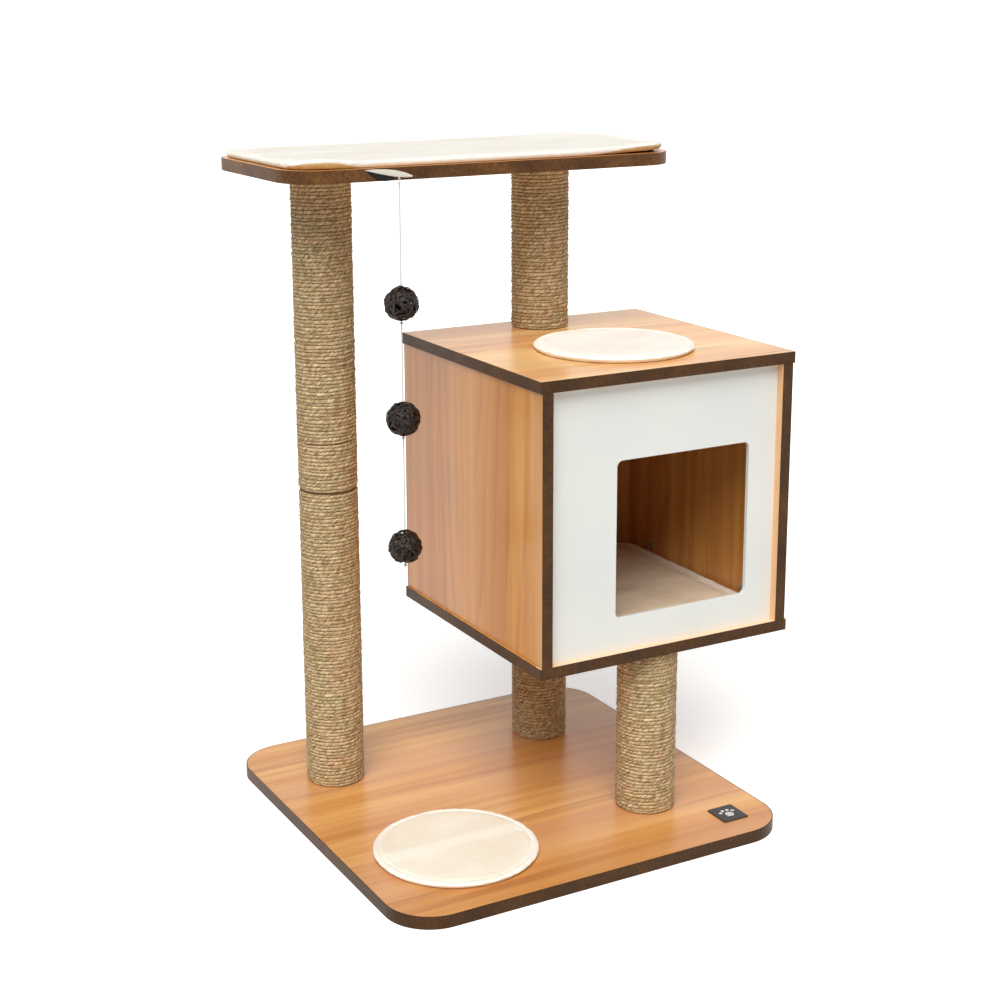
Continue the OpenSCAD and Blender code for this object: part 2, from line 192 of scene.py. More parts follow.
class Nodes:
    """Short ways to add shader nodes to a node tree."""

    def __init__(self, tree):
        self.tree = tree

    def add(self, kind, inputs, output=0, **settings):
        """Adds a node. inputs maps socket names or numbers to sockets or values."""
        node = self.tree.nodes.new("ShaderNode" + kind)
        for name, value in settings.items():
            setattr(node, name, value)
        for socket, value in inputs.items():
            if isinstance(value, bpy.types.NodeSocket):
                self.tree.links.new(value, node.inputs[socket])
            else:
                node.inputs[socket].default_value = value
        return node.outputs[output]

    def place(self):
        return self.add("TexCoord", {}, "Object")

    def attribute(self, name):
        return self.add("Attribute", {}, "Vector", attribute_name=name)

    def split(self, vector):
        node = self.add("SeparateXYZ", {0: vector}).node
        return node.outputs[0], node.outputs[1], node.outputs[2]

    def join(self, x, y, z):
        return self.add("CombineXYZ", {0: x, 1: y, 2: z})

    def stretched(self, vector, x, y, z):
        return self.add("VectorMath", {0: vector, 1: (x, y, z)}, operation="MULTIPLY")

    def moved(self, vector, x, y, z):
        return self.add("VectorMath", {0: vector, 1: (x, y, z)}, operation="ADD")

    def noise(self, vector, scale=1, detail=2, roughness=0.5):
        return self.add("TexNoise", {"Vector": vector, "Scale": scale, "Detail": detail,
                                     "Roughness": roughness})

    def maths(self, operation, a, b=0.5, clamp=False):
        return self.add("Math", {0: a, 1: b}, operation=operation, use_clamp=clamp)

    def times(self, a, b):
        return self.maths("MULTIPLY", a, b)

    def plus(self, a, b):
        return self.maths("ADD", a, b)

    def spread(self, value, low, high, to_low=0, to_high=1):
        """Maps low to high onto to_low to to_high, and stops at both ends."""
        return self.add("MapRange", {"Value": value, "From Min": low, "From Max": high,
                                     "To Min": to_low, "To Max": to_high})

    def ramp(self, value, *stops):
        """A colour ramp through (position, colour) stops."""
        node = self.tree.nodes.new("ShaderNodeValToRGB")
        ramp = node.color_ramp
        while len(ramp.elements) < len(stops):
            ramp.elements.new(0.5)
        for element, (position, colour) in zip(ramp.elements, stops):
            element.position, element.color = position, colour
        self.tree.links.new(value, node.inputs[0])
        return node.outputs[0]

    def mix(self, share, a, b):
        """Colour a, with a share of colour b."""
        return self.add("Mix", {0: share, 6: a, 7: b}, 2, data_type="RGBA")

    def bump(self, height, distance, strength):
        return self.add("Bump", {"Height": height, "Distance": distance, "Strength": strength})


class Surface(Nodes):
    """A Principled material with some of its values set."""

    def __init__(self, name, **values):
        self.material = bpy.data.materials.new(name)
        self.material.use_nodes = True
        super().__init__(self.material.node_tree)
        self.shader = self.tree.nodes["Principled BSDF"]
        for socket, value in values.items():
            self.shader.inputs[socket.replace("_", " ")].default_value = value

    def wire(self, socket, source):
        """Feeds one of the shader's own sockets."""
        self.tree.links.new(source, self.shader.inputs[socket])


# ---- Materials

def laminate(name, order, start, tones, line, tilt=0.06, depth=0.05, ring=0.026, tint=0.4, painted_lip_light=0.0,
             rings=0.5):
    """Walnut-look laminate, cut from a log at start. order says which axes run along, across and through the
    board. tones are its dark, middle, light and pink wood, and line its late wood.

    The log's heart tilts under the board, depth below it at first, and ring is how far apart its growth rings
    lie. tint and rings say how strongly the pink and the rings show, and lip how much paler the part in front
    of the white panel is painted, as painted light where it is lit."""
    s = Surface(name, Roughness=0.34, Coat_Weight=0.25, Coat_Roughness=0.2)
    axes = dict(zip("xyz", s.split(s.place())))
    p = s.moved(s.join(axes[order[0]], axes[order[1]], axes[order[2]]), *start)
    along, across, _ = s.split(p)
    wobble = s.noise(s.stretched(p, 1.3, 9, 9), detail=3)
    shifted = s.plus(across, s.spread(wobble, 0, 1, -0.05, 0.05))
    buried = s.plus(s.times(along, tilt), depth)
    radius = s.maths("SQRT", s.plus(s.maths("POWER", shifted, 2), s.maths("POWER", buried, 2)))
    fine = s.noise(s.stretched(p, 3, 60, 60), detail=2)
    turn = s.maths("FRACT", s.plus(s.maths("DIVIDE", radius, ring), s.spread(fine, 0, 1, 0, 0.25)))
    late_wood = s.ramp(turn, (0, grey(0)), (0.45, grey(0.06)), (0.8, grey(0.42)), (0.9, grey(1)),
                       (0.985, grey(0)))
    where = s.spread(s.noise(s.stretched(s.moved(p, 3, 1, 2), 1.6, 13, 13), detail=1), 0.42, 0.6)
    broad = s.noise(s.stretched(s.moved(p, 1, 5, 2), 0.9, 14, 14), detail=2)
    narrow = s.noise(s.stretched(p, 2.2, 75, 75), detail=3)
    streaks = s.noise(s.stretched(p, 7, 420, 420), detail=3)
    tone = s.plus(s.times(broad, 0.64), s.times(narrow, 0.26))
    tone = s.plus(tone, s.times(streaks, 0.1))
    colour = s.ramp(tone, (0.38, tones[0]), (0.49, tones[1]), (0.61, tones[2]))
    pink = s.spread(s.noise(s.stretched(s.moved(p, 7, 2, 4), 0.8, 11, 11), detail=1), 0.44, 0.62)
    colour = s.mix(s.times(pink, tint), colour, tones[3])
    share = s.maths("MULTIPLY", s.times(late_wood, where), rings, clamp=True)
    colour = s.mix(share, colour, line)
    contour = s.noise(s.stretched(s.moved(p, 2, 6, 1), 0.8, 26, 26), detail=2)
    seam = s.spread(s.maths("ABSOLUTE", s.maths("SUBTRACT", contour, 0.5)), 0.05, 0.004)
    gate = s.spread(s.noise(s.stretched(s.moved(p, 4, 9, 3), 2.2, 12, 12), detail=1), 0.54, 0.66)
    colour = s.mix(s.times(s.times(seam, gate), 0.55), colour, line)
    pores = s.spread(s.noise(s.stretched(p, 28, 1500, 1500), detail=2), 0.56, 0.72)
    colour = s.mix(s.times(pores, 0.12), colour, line)
    # Painted light: the strip in front of the white panel is mixed towards pale peach where it is lit
    if painted_lip_light:
        panel_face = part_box("den_front_panel")[0].y
        painted_light_share = s.spread(axes["y"], panel_face - 0.2 * MM, panel_face + 0.2 * MM, painted_lip_light, 0)
        colour = s.mix(painted_light_share, colour, srgb(250, 216, 184))
    s.wire("Base Color", colour)
    s.wire("Roughness", s.spread(streaks, 0.3, 0.7, 0.28, 0.38))
    s.wire("Normal", s.bump(s.maths("SUBTRACT", s.times(streaks, 0.4), pores), 0.03 * MM, 0.5))
    return s.material


def edge_band(name, dark, mid, light):
    """Printed edge banding: a cloudy brown with fine ticks of grain."""
    s = Surface(name, Roughness=0.5, Specular_IOR_Level=0.2)
    p = s.place()
    cloud = s.noise(p, 16, 3)
    ticks = s.noise(p, 260, 3, 0.6)
    fine = s.noise(p, 1100, 2)
    tone = s.plus(s.times(cloud, 0.55), s.times(ticks, 0.45))
    colour = s.ramp(tone, (0.36, dark), (0.5, mid), (0.66, light))
    s.wire("Base Color", colour)
    s.wire("Roughness", s.spread(fine, 0.3, 0.7, 0.36, 0.5))
    s.wire("Normal", s.bump(s.plus(ticks, s.times(fine, 0.5)), 0.06 * MM, 0.5))
    return s.material


def white_board():
    """White melamine with a faint orange peel."""
    s = Surface("white_board", Roughness=0.4, Coat_Weight=0.1, Coat_Roughness=0.3)
    p = s.place()
    cloud = s.noise(p, 7, 2)
    peel = s.noise(p, 420, 2)
    s.wire("Base Color", s.ramp(cloud, (0.3, srgb(226, 229, 226)), (0.7, srgb(232, 234, 230))))
    s.wire("Roughness", s.spread(peel, 0.3, 0.7, 0.36, 0.46))
    s.wire("Normal", s.bump(peel, 0.05 * MM, 0.3))
    return s.material


# The length of rope in which a strand goes once round it, and the distance round the rope
ROPE_LAY = 0.0125
ROPE_GIRTH = 0.0132


def seagrass():
    """Twisted seagrass rope. Its rope attribute holds the length along the rope, the turn round it and the
    number of the wrap."""
    s = Surface("seagrass_rope", Roughness=0.75, Specular_IOR_Level=0.35)
    along, round_it, wrap = s.split(s.attribute("rope"))
    twist = s.maths("SUBTRACT", s.times(round_it, ROPE_GIRTH), s.times(along, ROPE_GIRTH / ROPE_LAY))
    fibres = s.noise(s.join(s.times(along, 110), s.times(twist, 1500), wrap), 1, 3, 0.6)
    blades = s.noise(s.join(s.times(along, 80), s.times(twist, 380), wrap), 1, 1)
    dashes = s.noise(s.join(s.times(along, 210), s.times(round_it, 5), wrap), 1, 2)
    patches = s.noise(s.stretched(s.place(), 26, 26, 60), 1, 4, 0.62)
    colour = s.ramp(fibres, (0.25, srgb(112, 84, 48)), (0.42, srgb(156, 129, 84)),
                    (0.56, srgb(184, 159, 112)), (0.72, srgb(216, 196, 154)))
    tint = s.ramp(patches, (0.32, srgb(168, 160, 110)), (0.48, srgb(192, 167, 124)),
                  (0.6, srgb(202, 163, 122)), (0.7, srgb(176, 134, 84)))
    colour = s.mix(0.46, colour, tint)
    colour = s.mix(s.times(s.spread(blades, 0.54, 0.66), 0.7), colour, srgb(238, 216, 180))
    colour = s.mix(s.times(s.spread(blades, 0.44, 0.32), 0.7), colour, srgb(112, 80, 46))
    colour = s.mix(s.times(s.spread(dashes, 0.56, 0.68), 0.6), colour, srgb(240, 220, 188))
    colour = s.mix(s.times(s.spread(dashes, 0.42, 0.3), 0.6), colour, srgb(118, 84, 48))
    s.wire("Base Color", colour)
    s.wire("Roughness", s.spread(fibres, 0.3, 0.7, 0.85, 0.58))
    s.wire("Normal", s.bump(s.plus(fibres, s.times(blades, 1.5)), 0.5 * MM, 0.8))
    return s.material


def fleece(name, light, mid, dark, band=None):
    """Short plush. Its pad attribute says how near the rim a point is and how much painted shade its curled
    underside takes. band is the y and the half width of a paler stripe along X, if there is one."""
    s = Surface(name, Roughness=0.95, Sheen_Weight=0.3, Sheen_Roughness=0.4, Specular_IOR_Level=0.15)
    p = s.place()
    rim, under, _ = s.split(s.attribute("pad"))
    pile = s.noise(p, 1500, 3, 0.7)
    tufts = s.noise(p, 420, 3, 0.6)
    nap = s.noise(s.stretched(p, 12, 20, 20), 1, 3)
    tone = s.plus(s.times(nap, 0.7), s.times(tufts, 0.3))
    colour = s.ramp(tone, (0.36, dark), (0.5, mid), (0.64, light))
    if band:
        band_y, half = band
        # A paler stripe along X at band's y
        y = s.plus(s.split(p)[1], s.spread(nap, 0, 1, -6 * MM, 6 * MM))
        away = s.maths("ABSOLUTE", s.maths("SUBTRACT", y, band_y))
        pale_stripe = s.times(s.spread(away, half * 1.5, half * 0.6), 0.8)
        colour = s.mix(pale_stripe, colour, srgb(250, 246, 233))
    colour = s.mix(s.times(rim, 0.6), colour, srgb(249, 246, 239))
    colour = s.mix(s.times(s.spread(pile, 0.5, 0.3), 0.14), colour, dark)
    weave = s.noise(s.stretched(p, 900, 900, 300), 1, 2)
    # Painted shade: a tan weave where the curled underside lifts off the board
    colour = s.mix(under, colour, s.ramp(weave, (0.3, srgb(196, 156, 98)), (0.7, srgb(224, 188, 130))))
    s.wire("Base Color", colour)
    height = s.plus(s.times(tufts, 1.2), pile)
    s.wire("Normal", s.bump(height, 0.45 * MM, 0.4))
    return s.material


def woven_black():
    """Dark stained wicker with painted highlights on its strips. Its strand attribute holds the length
    along a strip, the side and the strip.
    """
    s = Surface("black_weave", Roughness=0.34, Specular_IOR_Level=0.22, Coat_Weight=0.12, Coat_Roughness=0.1)
    length, side, strand = s.split(s.attribute("strand"))
    streak = s.noise(s.join(s.times(length, 110), s.times(side, 5), strand), 1, 3)
    # The pale top stop is a painted highlight along the strands, over the dark stain
    colour = s.ramp(streak, (0.3, srgb(4, 3, 3)), (0.54, srgb(14, 10, 9)), (0.7, srgb(112, 88, 76)))
    s.wire("Base Color", colour)
    s.wire("Roughness", s.spread(streak, 0.3, 0.7, 0.22, 0.5))
    s.wire("Normal", s.bump(streak, 0.4 * MM, 0.6))
    return s.material


def white_string():
    """Twisted cotton string."""
    s = Surface("white_string", Roughness=0.7, Sheen_Weight=0.2)
    fibre = s.noise(s.stretched(s.place(), 2600, 2600, 900), 1, 2)
    s.wire("Base Color", s.ramp(fibre, (0.3, srgb(192, 192, 188)), (0.6, srgb(220, 220, 215))))
    s.wire("Normal", s.bump(fibre, 0.08 * MM, 0.5))
    return s.material


def webbing(name, light, dark, sheen=0.15):
    """Ribbed tape. Its tape attribute holds the length along it and the place across it."""
    s = Surface(name, Roughness=0.75, Sheen_Weight=sheen, Specular_IOR_Level=0.3)
    length, across, _ = s.split(s.attribute("tape"))
    ribs = s.maths("SINE", s.times(length, 2 * math.pi / (1.1 * MM)))
    threads = s.maths("SINE", s.times(across, 2 * math.pi / (0.8 * MM)))
    weave = s.times(ribs, threads)
    fuzz = s.noise(s.place(), 1500, 2)
    tone = s.plus(s.spread(weave, -1, 1, 0.2, 0.8), s.spread(fuzz, 0, 1, -0.2, 0.2))
    s.wire("Base Color", s.ramp(tone, (0.1, dark), (0.8, light)))
    s.wire("Normal", s.bump(weave, 0.15 * MM, 0.7))
    return s.material


def plain_grain(name, stretch, dark, light, roughness, metallic=0.0, depth=0.05):
    """One stretched grain, depth millimetres deep: card, plain wood, metal, hook tape or moulded plastic."""
    s = Surface(name, Roughness=roughness, Metallic=metallic)
    grain = s.noise(s.stretched(s.place(), *stretch), 1, 3)
    s.wire("Base Color", s.ramp(grain, (0.32, dark), (0.68, light)))
    s.wire("Roughness", s.spread(grain, 0.3, 0.7, roughness * 0.8, min(1, roughness * 1.2)))
    s.wire("Normal", s.bump(grain, depth * MM, 0.5))
    return s.material


# ---- Boards and other CAD nodes that show as they are

def dress(material, *names):
    """Gives CAD nodes a material."""
    for name in names:
        slots = NODES[name].data.materials
        slots.clear()
        slots.append(material)


def soften(width, *names):
    """Rounds the sharp edges of CAD nodes to a width."""
    for name in names:
        node = NODES[name]
        custom = node.data.attributes.get("custom_normal")
        if custom:
            node.data.attributes.remove(custom)
        node.data.shade_smooth()
        weld = node.modifiers.new("weld", "WELD")
        weld.merge_threshold = 1e-5
        flat = node.modifiers.new("flat", "DECIMATE")
        flat.decimate_type, flat.angle_limit = "DISSOLVE", math.radians(0.6)
        bevel = node.modifiers.new("bevel", "BEVEL")
        bevel.width, bevel.segments = width, 3
        bevel.limit_method, bevel.angle_limit = "ANGLE", math.radians(35)
        bevel.use_clamp_overlap, bevel.harden_normals = False, True


def dress_boards():
    """Laminate, edge bands and the white front. The den's sides and roof catch the light differently, so each
    has its own tones."""
    top = (srgb(194, 129, 66), srgb(213, 152, 84), srgb(231, 180, 111), srgb(204, 147, 101))
    side = (srgb(188, 117, 50), srgb(213, 144, 66), srgb(234, 176, 94), srgb(207, 144, 90))
    roof = (srgb(220, 158, 92), srgb(238, 184, 114), srgb(246, 208, 146), srgb(232, 182, 136))
    line = srgb(164, 98, 48)
    for name, node, order, start, tones, more in (
            ("base", "base_board", "xyz", (0.3, 0.28, 0.05), top, {"ring": 0.05, "tint": 0.62, "rings": 0.4}),
            ("platform", "platform_board", "xyz", (1.9, -0.1, 0.02), top, {}),
            ("den_top", "den_top_panel", "xyz", (4.1, 0.06, 0.03), roof, {}),
            ("den_floor", "den_floor_panel", "xyz", (7.3, 0.06, 0.03), side, {"painted_lip_light": 0.8}),
            ("den_left", "den_left_panel", "zyx", (-0.43, 0.02, 0.2), side,
             {"tilt": -0.13, "depth": 0.0234, "tint": 0.7}),
            ("den_right", "den_right_panel", "zyx", (-0.1, -0.05, 0.3), side,
             {"tilt": 0.11, "depth": 0.04, "painted_lip_light": 0.4}),
            ("den_back", "den_back_panel", "zxy", (-0.2, -0.142, 0.1), side, {"tilt": 0.13, "depth": 0.03})):
        dress(laminate("walnut_" + name, order, start, tones, line, **more), node)
    bands = [n for n in NODES if "edge_band" in n]
    dress(edge_band("brown_edge_band", srgb(54, 33, 11), srgb(71, 44, 16), srgb(90, 58, 24)), *bands)
    paler = edge_band("brown_edge_band_platform", srgb(66, 40, 16), srgb(92, 58, 26), srgb(122, 82, 42))
    dress(paler, "platform_edge_band")
    dress(white_board(), "den_front_panel")
    boards = [n for n in NODES if n.endswith(("_board", "_panel"))]
    soften(0.5 * MM, *boards, *bands)


def dress_hardware():
    """The tubes, plugs, dowels, metal parts, hook pads and badge."""
    card = plain_grain("cardboard", (40, 40, 160), srgb(112, 84, 54), srgb(146, 114, 76), 0.85)
    plug = plain_grain("plug_wood", (220, 220, 20), srgb(196, 158, 108), srgb(222, 190, 142), 0.6)
    zinc = plain_grain("zinc_steel", (300, 300, 60), srgb(176, 178, 182), srgb(208, 210, 212), 0.34,
                       metallic=1.0, depth=0.02)
    hooks = plain_grain("hook_tape", (1600, 1600, 1600), srgb(14, 14, 15), srgb(44, 44, 46), 0.8, depth=0.5)
    badge = plain_grain("badge_black", (700, 700, 700), srgb(16, 12, 10), srgb(32, 26, 22), 0.42, depth=0.06)
    silver = plain_grain("badge_silver", (90, 900, 300), srgb(196, 196, 196), srgb(228, 228, 226), 0.28,
                         metallic=1.0, depth=0.02)
    dress(card, *[n for n in NODES if n.endswith("_tube")])
    dress(plug, "den_dowels", *[n for n in NODES if n.endswith("_plugs")])
    dress(zinc, "post_inserts", "tall_post_stud", "post_bolts", "post_bolt_washers", "den_cam_bolts",
          "den_cam_discs")
    dress(hooks, *[n for n in NODES if n.endswith("_hook_pads")])
    dress(badge, "badge_plate")
    dress(silver, "badge_mark")
    soften(0.25 * MM, "badge_plate", "post_bolts", "post_bolt_washers")
    soften(0.12 * MM, "badge_mark")


# ---- Rope wraps

ROPE_PITCH = 0.0047
ROPE_THICK = 0.0042
# Rings in one turn round the post, and the corners of each ring, with its flat side on the post
ROPE_STEPS = 128
ROPE_ANGLES = np.radians([-118, -78, -40, 0, 40, 78, 118])
# The part of a turn left off at each end of a rope, where it would be too thin
ROPE_TUCK = 0.07
# How far a rope stays inside its node's bottom and top, and inside the seam of the tall post
ROPE_FOOT, ROPE_HEAD, ROPE_SEAM = 0.9 * MM, 0.4 * MM, 1.6 * MM
# Where a new length of rope starts: the node, the height and the gap that it leaves, at this part of a turn
JOINS = {"tall_post_upper_rope": (0.499, 0.65 * MM)}
JOIN_TURN = 0.71


def round_post(centre, radius, turned, z):
    """Places at a radius and a turn round a post's centre, at the heights z."""
    return np.stack([centre.x + radius * np.cos(turned), centre.y + radius * np.sin(turned), z], 2)


def rope_wrap(node, seed, material):
    """One rope wound up a post: each turn rests on the one below, and both ends taper to nothing."""
    low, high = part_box(node)
    outer = (high.x - low.x) / 2
    inner = outer - ROPE_THICK
    lowest = low.z + (ROPE_SEAM if node == "tall_post_upper_rope" else ROPE_FOOT)
    highest = high.z - (ROPE_SEAM if node == "tall_post_lower_rope" else ROPE_HEAD)
    turns = (highest - lowest) / ROPE_PITCH + 1
    t = np.linspace(ROPE_TUCK, turns - ROPE_TUCK, int((turns - 2 * ROPE_TUCK) * ROPE_STEPS))
    join_height, join_gap = JOINS.get(node, (0, 0))
    join_turn = round((join_height - lowest) / ROPE_PITCH) + JOIN_TURN

    def edge(at):
        wander = 0.75 * drift(at, 0.37, seed) + 0.5 * drift(at, 0.09, seed + 1)
        wander += 0.26 * drift(at, 0.025, seed + 5)
        return np.clip(lowest + ROPE_PITCH * (at - 1) + wander * MM, lowest, highest)

    def gap(at):
        return join_gap * smooth_step(-np.abs(at - join_turn), -0.19, -0.13)

    bottom, top = edge(t) + gap(t), edge(t + 1) - gap(t + 1)
    fullness = np.clip((top - bottom) / ROPE_PITCH, 0, 1.2)
    uneven = 0.42 * drift(t, 0.21, seed + 2) + 0.26 * drift(t, 0.03, seed + 3) - 0.35
    bulge = np.maximum(ROPE_THICK * np.sqrt(np.minimum(fullness, 1)) + uneven * MM, 0.4 * MM)
    along = t * 2 * math.pi * (inner + ROPE_THICK / 2)
    laid = 2 * math.pi * along / ROPE_LAY + 4 * drift(t, 0.3, seed + 4) + 1.5 * drift(t, 0.06, seed + 6)
    angle = ROPE_ANGLES[None, :]
    # Two plies swell the rope as they turn round it, and the grass makes it a little rough
    ply = np.cos(2 * (angle - laid[:, None]))
    reach = np.sign(np.cos(angle)) * np.abs(np.cos(angle)) ** 0.6 * (1 + 0.12 * ply)
    rough = np.random.default_rng(seed + 9).normal(0, 1, (2, len(t), len(ROPE_ANGLES)))
    rough *= np.clip(fullness, 0, 1)[:, None]
    radius = inner + bulge[:, None] / 2 * (1 + reach * 0.97) + rough[0] * 0.17 * MM
    radius = np.clip(radius, inner, outer + 0.3 * MM)
    middle, half = (top + bottom)[:, None] / 2, np.maximum(top - bottom, 0.12 * MM)[:, None] / 2
    z = middle + half * np.sin(angle) * (0.93 + 0.09 * ply) + rough[1] * 0.1 * MM
    z = np.clip(z, lowest, highest)
    rings = round_post((low + high) / 2, radius, t[:, None] * 2 * math.pi, z)
    piece = mesh_object(node + "_wrap", *sweep(rings))
    # Each wrap is far enough from the last to have its own grain
    wrap = np.floor(t)[:, None] * 3.7
    store(piece, "rope", np.stack(np.broadcast_arrays(along[:, None], angle / (2 * math.pi), wrap), 2))
    add_piece(piece, "tree", "seagrass_rope", material, node)
    stray_fibres(node, seed, material)


def stray_fibres(node, seed, material):
    """Thin ends of grass that stand a little off a rope wrap, most of them lying along it."""
    low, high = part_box(node)
    centre, outer = (low + high) / 2, (high.x - low.x) / 2
    rng = np.random.default_rng(seed + 7)
    per_mm, points, corners = 5, 6, 3
    count = round((high.z - low.z) / MM * per_mm)
    s = np.linspace(0, 1, points)[None, :]
    start = rng.uniform(0, 2 * math.pi, (count, 1))
    length = rng.uniform(4, 13, (count, 1)) * MM
    slope = rng.normal(0, 0.28, (count, 1))
    curl = rng.normal(0, 0.8, (count, 1)) * MM
    lift = rng.uniform(0.1, 1.0, (count, 1)) ** 2 * 2.1 * MM
    way = rng.choice([-1, 1], (count, 1))
    turned = start + way * s * length * np.cos(slope) / outer
    root = rng.uniform(low.z + 3 * MM, high.z - 3 * MM, (count, 1))
    height = root + s * length * np.sin(slope) + curl * s ** 2
    height = np.clip(height, low.z + 1 * MM, high.z - 1 * MM)
    radius = outer - 0.9 * MM + (0.5 * MM + lift) * s ** 1.5
    path = round_post(centre, radius, turned, height)
    along = unit(np.gradient(path, axis=1))
    out = unit(np.stack([np.cos(turned), np.sin(turned), np.zeros_like(turned)], 2))
    out = unit(out - along * np.sum(out * along, 2, keepdims=True))
    across = np.cross(out, along)
    thick = rng.uniform(0.13, 0.24, (count, 1)) * MM * (1 - 0.75 * s ** 2)
    angle = np.radians([90, 210, 330])[:, None]
    sideways = thick[:, :, None, None] * across[:, :, None]
    outwards = thick[:, :, None, None] * out[:, :, None]
    rings = path[:, :, None] + np.cos(angle) * sideways + np.sin(angle) * outwards
    faces = []
    for k in range(count):
        faces += sweep(rings[k], first=k * points * corners)[1]
    piece = mesh_object(node + "_fibres", rings, faces)
    shade = rng.uniform(0, 50, (count, 1, 1))
    facts = np.stack(np.broadcast_arrays(shade + 0.002 * s[:, :, None], shade * 0.3, shade), 3)
    store(piece, "rope", np.broadcast_to(facts, (count, points, corners, 3)))
    add_piece(piece, "tree", "seagrass_rope", material)


def wrap_posts():
    material = seagrass()
    for seed, node in enumerate(sorted(n for n in NODES if n.endswith("_rope"))):
        rope_wrap(node, 10 * seed + 3, material)


# ---- Cushions

def rounded_inset(x, y, half_w, half_d, radius):
    """How far inside the edge of a rounded rectangle each place is."""
    over_x, over_y = np.abs(x) - (half_w - radius), np.abs(y) - (half_d - radius)
    past_corner = np.hypot(np.maximum(over_x, 0), np.maximum(over_y, 0))
    return radius - past_corner - np.minimum(np.maximum(over_x, over_y), 0)


def rounded_outline(half_w, half_d, radius, inset=0.0, spacing=0.004):
    """Evenly spaced places round a rounded rectangle, inset from its edge."""
    r = radius - inset
    corners = [(1, 1, 0), (-1, 1, 90), (-1, -1, 180), (1, -1, 270)]
    corner_points = 48
    places = []
    for side_x, side_y, start in corners:
        x, y = side_x * (half_w - radius), side_y * (half_d - radius)
        for a in np.radians(np.linspace(start, start + 90, corner_points)):
            places.append((x + r * math.cos(a), y + r * math.sin(a)))
    places = np.array(places + places[:1])
    steps = np.hypot(*np.diff(places, axis=0).T)
    length = np.concatenate([[0], np.cumsum(steps)])
    at = np.linspace(0, length[-1], round(length[-1] / spacing), endpoint=False)
    return np.stack([np.interp(at, length, places[:, i]) for i in (0, 1)], 1)


def pad_heights(inset, thick, rim, seam, crown):
    """Bottom and top of a pad at each inset: a rolled rim, a sewn seam inside it and a middle whose height
    goes from crown's first share of the thickness to its second."""
    roll = np.sqrt(np.clip(1 - (1 - np.clip(inset / (rim / 2), 0, 1)) ** 2, 0, 1))
    bottom = thick * 0.45 * (1 - roll)
    rim_top = thick * (0.45 + 0.55 * roll)
    groove = np.exp(-((inset - seam) / (rim * 0.22)) ** 2)
    inside = thick * (crown[0] + (crown[1] - crown[0]) * smooth_step(inset, seam, seam + 0.05))
    top = np.where(inset < seam, rim_top, inside) * (1 - 0.16 * groove)
    return bottom, top


CLOTH_FRAMES = 20


def simulate(piece, pins, pressure, cap, slack):
    """Puffs a pad up as cloth, with the pinned points held and no point moved further than cap."""
    start = points_of(piece)
    group = piece.vertex_groups.new(name="pins")
    group.add([int(i) for i in pins], 1.0, "REPLACE")
    cloth = piece.modifiers.new("cloth", "CLOTH")
    facts = cloth.settings
    facts.vertex_group_mass = "pins"
    facts.quality, facts.mass, facts.air_damping = 6, 0.15, 4
    facts.tension_stiffness = facts.compression_stiffness = 12
    facts.shear_stiffness, facts.bending_stiffness = 6, 0.3
    facts.use_pressure, facts.uniform_pressure_force = True, pressure
    facts.effector_weights.gravity = 0
    facts.shrink_min = -slack
    cloth.collision_settings.use_collision = False
    cloth.collision_settings.use_self_collision = False
    scene = bpy.context.scene
    for step in range(CLOTH_FRAMES):
        scene.frame_set(step + 1)
    graph = bpy.context.evaluated_depsgraph_get()
    solved = piece.evaluated_get(graph)
    flat = np.empty(len(solved.data.vertices) * 3, np.float32)
    solved.data.vertices.foreach_get("co", flat)
    moved = flat.reshape(-1, 3) - start
    far = np.linalg.norm(moved, axis=1, keepdims=True)
    piece.modifiers.remove(cloth)
    piece.vertex_groups.clear()
    set_points(piece, start + moved * np.minimum(1, cap / np.maximum(far, 1e-9)))
    scene.frame_set(1)


# How far a pad stays inside its node's outline, and how far it hangs down just inside its rim
PAD_GAP = 1 * MM
DROOP = 1.4 * MM


